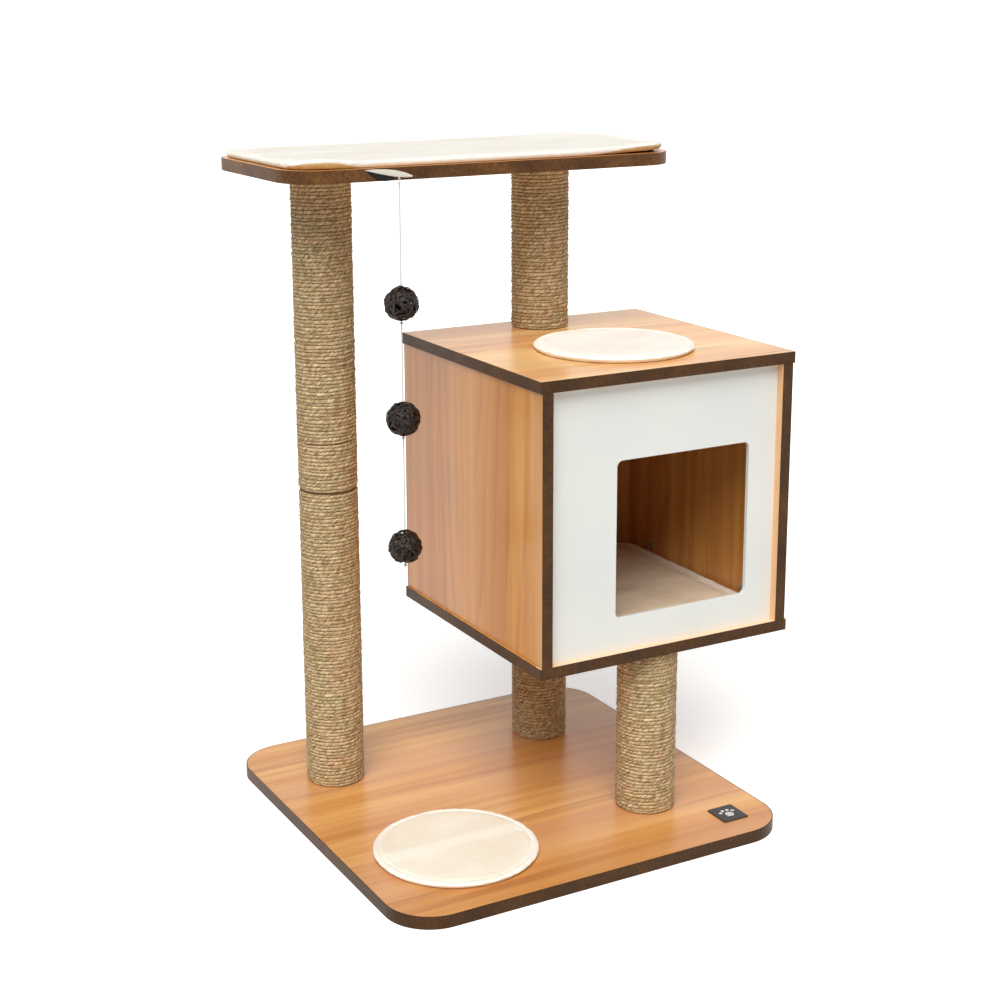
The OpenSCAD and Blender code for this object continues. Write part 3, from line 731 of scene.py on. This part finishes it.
def pad(node, radius, material, rim, seam, crown, voxel, seed, notch=None, ridge=0.0, lift=None):
    """A thin stuffed pad in the place of a CAD cushion. notch is the direction of its closing notch, ridge
    the height of its fold, and lift gives how far its top and bottom curl up at x, y."""
    low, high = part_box(node)
    centre, thick = (low + high) / 2, high.z - low.z
    half_w, half_d = (high.x - low.x) / 2 - PAD_GAP, (high.y - low.y) / 2 - PAD_GAP
    radius = radius - PAD_GAP
    outline = rounded_outline(half_w, half_d, radius)
    rings = np.stack([np.column_stack([outline, np.full(len(outline), z)]) for z in (0, thick)])
    piece = mesh_object(node + "_pad", *sweep(rings))
    remesh = piece.modifiers.new("remesh", "REMESH")
    remesh.mode, remesh.voxel_size = "VOXEL", voxel
    apply_modifiers(piece)
    p = points_of(piece)
    inset = np.maximum(rounded_inset(p[:, 0], p[:, 1], half_w, half_d, radius), 0)
    share = np.clip(p[:, 2] / thick, 0, 1)
    bottom, top = pad_heights(inset, thick, rim, seam, crown)
    p[:, 2] = bottom + share * (top - bottom)
    set_points(piece, p)
    sewn = np.abs(inset - seam) < voxel * 0.55
    resting = share < 0.45
    simulate(piece, np.nonzero(sewn | resting)[0], 4, 0.22 * thick, 0.02)
    subdivide = piece.modifiers.new("subdivide", "SUBSURF")
    subdivide.levels = subdivide.render_levels = 1
    apply_modifiers(piece)
    p = points_of(piece)
    inset = rounded_inset(p[:, 0], p[:, 1], half_w, half_d, radius)
    near_rim = 1 - smooth_step(inset, seam * 0.2, seam * 2)
    # Where the pad curls up, its lifted underside at the rim is painted tan, as painted shade under the curl
    curled = lift(p[:, 0], p[:, 1])[0] / (4 * MM) if lift else 0 * inset
    edge = thick * 0.56 * np.clip(curled, 0, 1)
    under = 1 - smooth_step(p[:, 2], edge - 0.12 * thick, edge)
    store(piece, "pad", np.column_stack([near_rim, under, np.zeros(len(p))]))
    finish_pad(p, half_w, half_d, radius, thick, seam, seed, notch, ridge, lift)
    set_points(piece, p + np.array([centre.x, centre.y, low.z]))
    add_piece(piece, node, "cream_fleece", material, node)
    stitch_seam(node, piece, material, half_w, half_d, radius, seam)


def finish_pad(p, half_w, half_d, radius, thick, seam, seed, notch, ridge, lift):
    """Sets what the remesh can't hold: the seam's crease, the notch, the fold and the curled edges."""
    x, y, z = p[:, 0], p[:, 1], p[:, 2]
    inset = rounded_inset(x, y, half_w, half_d, radius)
    upper = smooth_step(z, thick * 0.25, thick * 0.6)
    z -= upper * 0.6 * MM * np.exp(-((inset - seam) / (1.3 * MM)) ** 2)
    if notch is not None:
        turn = np.arctan2(y, x) - math.radians(notch)
        away = np.abs(np.sin(turn)) * np.hypot(x, y)
        near = np.exp(-(away / (1.6 * MM)) ** 2) * (np.cos(turn) > 0) * (inset < seam)
        p[:, :2] *= (1 - 0.018 * near)[:, None]
        z -= upper * 1.2 * MM * near
    z += upper * ridge * np.exp(-(y / 0.016) ** 2) * smooth_step(inset, seam, seam + 0.03)
    rng = np.random.default_rng(seed)
    for a, b, c in rng.uniform(-1, 1, (7, 3)):
        wave = np.sin(70 * (a * x + b * y) + 6 * c)
        z += upper * 0.16 * MM * wave * smooth_step(inset, seam, seam + 0.02)
    z += upper * rng.normal(0, 0.05 * MM, len(z))
    np.maximum(z, 0, out=z)
    hanging = smooth_step(inset, 1 * MM, 4 * MM) * (1 - smooth_step(inset, 6 * MM, 9.5 * MM))
    z -= DROOP * hanging * (1 - np.clip(z / (0.6 * thick), 0, 1))
    if lift is not None:
        top_lift, bottom_lift = lift(x, y)
        z += bottom_lift + (top_lift - bottom_lift) * np.clip(z / thick, 0, 1)


def stitch_seam(node, pad_piece, material, half_w, half_d, radius, seam):
    """Short thread stitches along a pad's seam, laid on its surface."""
    low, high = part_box(node)
    centre = (low + high) / 2
    ring = rounded_outline(half_w, half_d, radius, seam, 1.1 * MM)
    ring = ring + np.array([centre.x, centre.y])
    tree = BVHTree.FromObject(pad_piece, bpy.context.evaluated_depsgraph_get())
    above = high.z + 50 * MM
    heights = []
    for x, y in ring:
        hit = tree.ray_cast((x, y, above), (0, 0, -1))[0]
        heights.append(hit.z if hit else high.z)
    path = np.column_stack([ring, heights])
    vertices, faces, count = [], [], 0
    # Each stitch spans this many places of the ring, and its ends go down into the pad
    span = 4
    rise = np.array([-0.45, 0.1, 0.2, 0.1, -0.45]) * MM
    t = np.linspace(0, span - 1, len(rise)) * 0.92
    for first in range(0, len(path) - span, span):
        part = path[first:first + span]
        at = np.stack([np.interp(t, np.arange(span), part[:, i]) for i in range(3)], 1)
        at[:, 2] += rise
        along = unit(np.gradient(at, axis=0))
        out = unit(np.cross(along, np.cross([0.0, 0.0, 1.0], along)))
        made, quads = sweep(tube_rings(at, along, out, 0.28 * MM, 0.22 * MM, 6), first=count)
        vertices.append(made)
        faces += quads
        count += len(made)
    threads = mesh_object(node + "_stitches", np.concatenate(vertices), faces)
    store(threads, "pad", np.broadcast_to([0.5, 0.0, 0.0], (count, 3)))
    add_piece(threads, node, "cream_fleece", material)


def curl_of_platform(x, y):
    """The platform pad's front left corner and its right end curl up: how far its top and its bottom rise."""
    half_w, half_d = 0.274, 0.133
    front = np.exp(-np.maximum(y + half_d, 0) / 0.024)
    end = np.exp(-np.maximum(half_w - x, 0) / 0.04)
    left = 1 - smooth_step(x, -0.245, -0.17)
    right = smooth_step(x, 0.12, 0.25)
    corner = 7 * MM * front * left
    flap = MM * (4.5 * front * right + end * (3.5 + 3.5 * smooth_step(y, -0.12, 0.1)))
    return corner + flap, 0.15 * corner + 0.6 * flap


def add_cushions():
    """The four pads. The base's has a paler stripe and a fold, and the den's is thicker."""
    cream = srgb(247, 242, 229), srgb(242, 234, 217), srgb(236, 225, 205)
    pale = srgb(252, 250, 244), srgb(249, 245, 236), srgb(244, 238, 226)
    base = fleece("cream_fleece_base", *cream, band=(-0.133, 0.011))
    plain = fleece("cream_fleece", *pale)
    inner = fleece("cream_fleece_den", srgb(226, 208, 184), srgb(212, 192, 166), srgb(196, 174, 146))
    rim, seam = 9 * MM, 8 * MM
    pad("base_cushion", 0.106, base, rim, seam, (0.76, 0.84), 3 * MM, 1, notch=-74, ridge=0.4 * MM)
    pad("den_roof_cushion", 0.106, plain, rim, seam, (0.76, 0.84), 3 * MM, 2, notch=-60)
    pad("platform_cushion", 0.048, plain, rim, seam, (0.74, 0.82), 3.5 * MM, 3, lift=curl_of_platform)
    pad("den_cushion", 0.026, inner, 18 * MM, 13 * MM, (0.86, 0.96), 5 * MM, 4)


# ---- The hanging toy

# The string's diameter, where it hangs in x and y, and the heights of its route's points
STRING_D = 0.002
TOY_AT = np.array([-0.139, 0.0])
UPPER_ROUTE = [0.841, 0.835, 0.829, 0.823, 0.817, 0.811, 0.805, 0.799, 0.793, 0.787, 0.781, 0.775, 0.769,
               0.763, 0.757, 0.751, 0.745, 0.739, 0.733, 0.727, 0.721, 0.7174]
MIDDLE_ROUTE = [0.6674, 0.662, 0.656, 0.650, 0.644, 0.638, 0.632, 0.626, 0.620, 0.614, 0.608, 0.602, 0.596,
                0.590, 0.584, 0.578, 0.5704]
LOWER_ROUTE = [0.5204, 0.515, 0.509, 0.503, 0.497, 0.491, 0.485, 0.479, 0.473, 0.467, 0.461, 0.455, 0.449,
               0.443, 0.437, 0.431, 0.425, 0.419, 0.413, 0.407, 0.4024]


def twisted_string(name, heights):
    """Three plies laid together, down the string's straight route."""
    lay, step, sides = 6.5 * MM, 0.45 * MM, 18
    z = np.linspace(heights[0], heights[-1], round((heights[0] - heights[-1]) / step))
    angle = round_turn(sides)[None, :]
    turned = 2 * math.pi * z[:, None] / lay
    plies = np.abs(np.cos(1.5 * (angle - turned)))
    radius = STRING_D / 2 * (0.82 + 0.18 * plies)
    rings = np.stack([TOY_AT[0] + radius * np.cos(angle), TOY_AT[1] + radius * np.sin(angle),
                      np.broadcast_to(z[:, None], radius.shape)], 2)
    return mesh_object(name, *sweep(rings))


def along_loop(path):
    """The direction along a closed path at each of its points."""
    return unit(np.roll(path, -1, 0) - np.roll(path, 1, 0))


def knot(node, body, material, below, above):
    """A small overhand knot in place of a plain knot node, with the string through it."""
    low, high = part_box(node)
    centre, size = np.array((low + high) / 2), (high.x - low.x) / 2
    tied, straight = 0.85 * MM, 0.95 * MM
    t = round_turn(72)
    # A trefoil, which reaches 3 from its middle
    x, y, z = np.sin(t) + 2 * np.sin(2 * t), np.cos(t) - 2 * np.cos(2 * t), -1.1 * np.sin(3 * t)
    path = np.stack([x, y, z], 1) * (size - 0.75 * MM) / 3
    along = along_loop(path)
    out = unit(path - along * np.sum(path * along, 1, keepdims=True))
    vertices, faces = sweep(tube_rings(path + centre, along, out, tied, tied, 10), joined_ends=True)
    through = centre + np.linspace(-below, above, 8)[:, None] * [0, 0, 1]
    up = np.broadcast_to([0.0, 0.0, 1.0], through.shape)
    front = np.broadcast_to([0.0, -1.0, 0.0], through.shape)
    more, quads = sweep(tube_rings(through, up, front, straight, straight, 12), first=len(vertices))
    vertices, faces = np.concatenate([vertices, more]), faces + quads
    piece = mesh_object(node + "_tied", vertices, faces)
    return add_piece(piece, body, "white_string", material, node)


def woven_ball(node, body, seed, material):
    """Flat strips wound round a ball at many angles, over and under each other."""
    low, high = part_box(node)
    centre, size = np.array((low + high) / 2), (high.x - low.x) / 2
    rng = np.random.default_rng(seed)
    vertices, faces, facts, count = [], [], [], 0
    strips, steps, sides, thick = 38, 84, 8, 0.62 * MM
    golden_angle = math.pi * (3 - math.sqrt(5))
    t = round_turn(steps)
    for k in range(strips):
        height = 1 - 2 * (k + 0.5) / strips
        turn = k * golden_angle + rng.uniform(-0.3, 0.3)
        flat_part = math.sqrt(1 - height ** 2)
        normal = np.array([flat_part * math.cos(turn), flat_part * math.sin(turn), height])
        first = unit(np.cross(normal, [0.3, 0.5, 0.81]))
        second = np.cross(normal, first)
        inner = k % 3 == 2
        off = rng.uniform(-0.1, 0.45) * (0.5 if inner else 1)
        side_way = off + 0.05 * np.sin(2 * t + rng.uniform(0, 6)) + 0.03 * np.sin(5 * t + rng.uniform(0, 6))
        flat = np.sqrt(1 - side_way ** 2)
        circle = np.cos(t)[:, None] * first + np.sin(t)[:, None] * second
        ball = side_way[:, None] * normal + flat[:, None] * circle
        reach = 0.92 + 0.04 * np.sin(rng.integers(5, 9) * t + rng.uniform(0, 6)) + rng.uniform(-0.035, 0.03)
        if inner:
            reach = reach - 0.13
        path = ball * (reach * size)[:, None]
        along = along_loop(path)
        width = rng.uniform(1.2, 1.9) * MM * (1 + 0.15 * np.sin(3 * t + k))
        out = unit(ball - along * np.sum(ball * along, 1, keepdims=True))
        rings = tube_rings(path + centre, along, out, width, thick, sides)
        made, quads = sweep(rings, joined_ends=True, first=count)
        vertices.append(made)
        faces += quads
        count += len(made)
        side_at = np.broadcast_to(np.arange(sides)[None, :], (steps, sides))
        facts.append(np.stack(np.broadcast_arrays(t[:, None] * size, side_at, k * 7.3), 2).reshape(-1, 3))
    piece = mesh_object(node + "_weave", np.concatenate(vertices), faces)
    store(piece, "strand", np.concatenate(facts))
    return add_piece(piece, body, "black_weave", material, node)


def tape(name, start, length, slope, widths, thick, front, material, slot, node, bow):
    """A strip of tape on the platform's front edge, which slopes down from its start and bows up by bow.
    widths gives its width at even places along it."""
    steps, sides = 90, 12
    u = np.linspace(0, 1, steps)
    width = np.interp(u, np.linspace(0, 1, len(widths)), widths)
    width = np.maximum(np.convolve(np.pad(width, 3, "edge"), np.ones(7) / 7, "valid"), 0.4 * MM)
    x = start[0] + u * length * math.cos(slope)
    z = start[1] - u * length * math.sin(slope) + bow * np.sin(math.pi * u)
    y = front - 0.5 * MM * np.sin(math.pi * u) ** 2
    path = np.stack([x, y, z], 1)
    along = unit(np.gradient(path, axis=0))
    out = unit(np.cross(along, np.cross([0.0, -1.0, 0.0], along)))
    across = np.cross(out, along)
    c, s = np.cos(round_turn(sides)), np.sin(round_turn(sides))
    c, s = np.sign(c) * np.abs(c) ** 0.4, np.sign(s) * np.abs(s) ** 0.6
    sideways = c[None, :, None] * (width / 2)[:, None, None] * across[:, None]
    rings = path[:, None] + sideways + s[None, :, None] * thick / 2 * out[:, None]
    piece = mesh_object(name, *sweep(rings))
    place = np.stack(np.broadcast_arrays((u * length)[:, None], c[None, :] * (width / 2)[:, None], 0.0), 2)
    store(piece, "tape", place)
    return add_piece(piece, "tree", slot, material, node)


def add_toy():
    """The string in three stretches, with a ball and its knot under each."""
    string, weave = white_string(), woven_black()
    parts = [("upper", UPPER_ROUTE), ("middle", MIDDLE_ROUTE), ("lower", LOWER_ROUTE)]
    knot("toy_hanging_knot", "toy_hanger", string, 3 * MM, 2 * MM)
    add_string_loop(string)
    for seed, (part, heights) in enumerate(parts):
        body = "toy_" + part
        cord = twisted_string(f"toy_string_{part}_twist", heights)
        add_piece(cord, body, "white_string", string, "toy_string_" + part)
        ball = woven_ball("toy_ball_" + part, body, 40 + seed, weave)
        stop = knot("toy_knot_" + part, body, string, 2.4 * MM, 8 * MM)


def add_strap():
    """The white strap that the toy hangs from, and a black tape under it that is a painted shadow of the
    strap.
    """
    white = webbing("white_webbing", srgb(248, 244, 232), srgb(208, 202, 186))
    black = webbing("painted_shadow_webbing", srgb(20, 20, 19), srgb(4, 4, 4), 0)
    low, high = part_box("toy_strap")
    tape("toy_strap_tape", (low.x, high.z - 0.3 * MM), 64 * MM, math.radians(9),
         [0.6 * MM, 3 * MM, 5 * MM, 6.5 * MM, 7.5 * MM, 8 * MM, 7 * MM, 5.5 * MM, 2 * MM], 1.1 * MM,
         low.y + 0.65 * MM, white, "white_webbing", "toy_strap", 0.8 * MM)
    # Painted shadow: a black tape below the strap's left end, in the place of its toy_strap_backing node
    low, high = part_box("toy_strap_backing")
    tape("toy_strap_painted_shadow", (low.x + 1 * MM, high.z - 1.6 * MM), 36 * MM, math.radians(13),
         [1 * MM, 6 * MM, 10 * MM, 11 * MM, 9 * MM, 5 * MM], 0.5 * MM, high.y - 0.3 * MM,
         black, "hook_tape", "toy_strap_backing", -1.2 * MM)


def add_string_loop(string):
    """The loop of string sewn to the strap, which the hanging knot is tied in."""
    high, low, half = 0.853, 0.8447, 0.9 * MM
    t = round_turn(64)
    z = (high + low) / 2 + (high - low) / 2 * np.sin(t)
    path = np.stack([TOY_AT[0] + half * np.cos(t) ** 3, np.full(len(t), TOY_AT[1]), z], 1)
    out = np.broadcast_to([0.0, -1.0, 0.0], path.shape)
    rings = tube_rings(path, along_loop(path), out, 0.5 * MM, 0.5 * MM, 8)
    piece = mesh_object("toy_string_loop", *sweep(rings, joined_ends=True))
    add_piece(piece, "tree", "white_string", string)


# ---- Studio

def add_floor():
    """A white floor that sends less light up at the object than it shows."""
    half = 400.0
    floor = mesh_object("floor", [(-half, -half, 0), (half, -half, 0), (half, half, 0), (-half, half, 0)],
                        [(0, 1, 2, 3)])
    s = Surface("pale_floor", Roughness=0.9, Specular_IOR_Level=0.0, Emission_Color=grey(1))
    cloud = s.noise(s.place(), 3, 2)
    shown = s.ramp(cloud, (0.3, (0.93, 0.93, 0.925, 1)), (0.7, (0.94, 0.94, 0.935, 1)))
    diffuse_ray = s.add("LightPath", {}, "Is Diffuse Ray")
    s.wire("Base Color", s.mix(diffuse_ray, shown, (0.55, 0.55, 0.54, 1)))
    s.wire("Emission Strength", s.spread(diffuse_ray, 0, 1, 0.42, 0))
    floor.data.materials.append(s.material)


def add_sun(name, azimuth, elevation, spread, strength, colour):
    """A soft light from far away. Its azimuth is counted as the camera's is."""
    data = bpy.data.lights.new(name, "SUN")
    data.angle, data.energy, data.color = math.radians(spread), strength, colour
    light = bpy.data.objects.new(name, data)
    light.rotation_euler = (math.radians(90 - elevation), 0, math.radians(azimuth))
    bpy.context.collection.objects.link(light)


def add_world():
    """A white room that lights the object less than it shows, and least from overhead and behind."""
    world = bpy.data.worlds.new("studio")
    world.use_nodes = True
    w = Nodes(world.node_tree)
    shown = w.tree.nodes["Background"]
    shown.inputs["Color"].default_value = grey(1)
    way = w.add("TexCoord", {}, "Generated")
    level = w.ramp(w.split(way)[2], (0.1, grey(0.27)), (0.6, grey(0.23)))
    behind = w.add("VectorMath", {0: way, 1: (0.49, 0.87, 0)}, "Value", operation="DOT_PRODUCT")
    lighting = w.add("Background", {"Color": level, "Strength": w.spread(behind, -0.5, 0.6, 1.1, 0.7)})
    diffuse_ray = w.add("LightPath", {}, "Is Diffuse Ray")
    mix = w.add("MixShader", {0: diffuse_ray, 1: shown.outputs[0], 2: lighting})
    w.tree.links.new(mix, w.tree.nodes["World Output"].inputs["Surface"])
    bpy.context.scene.world = world


def add_studio():
    add_floor()
    add_sun("key", -36.5, 52.5, 42, 3.2, (1, 0.985, 0.955))
    add_sun("fill", 100, 50, 60, 0.3, (1, 1, 1))
    add_world()
    bpy.context.scene.view_settings.view_transform = "Standard"


add_camera()
add_toy()
add_cushions()
dress_boards()
dress_hardware()
wrap_posts()
add_strap()
add_studio()
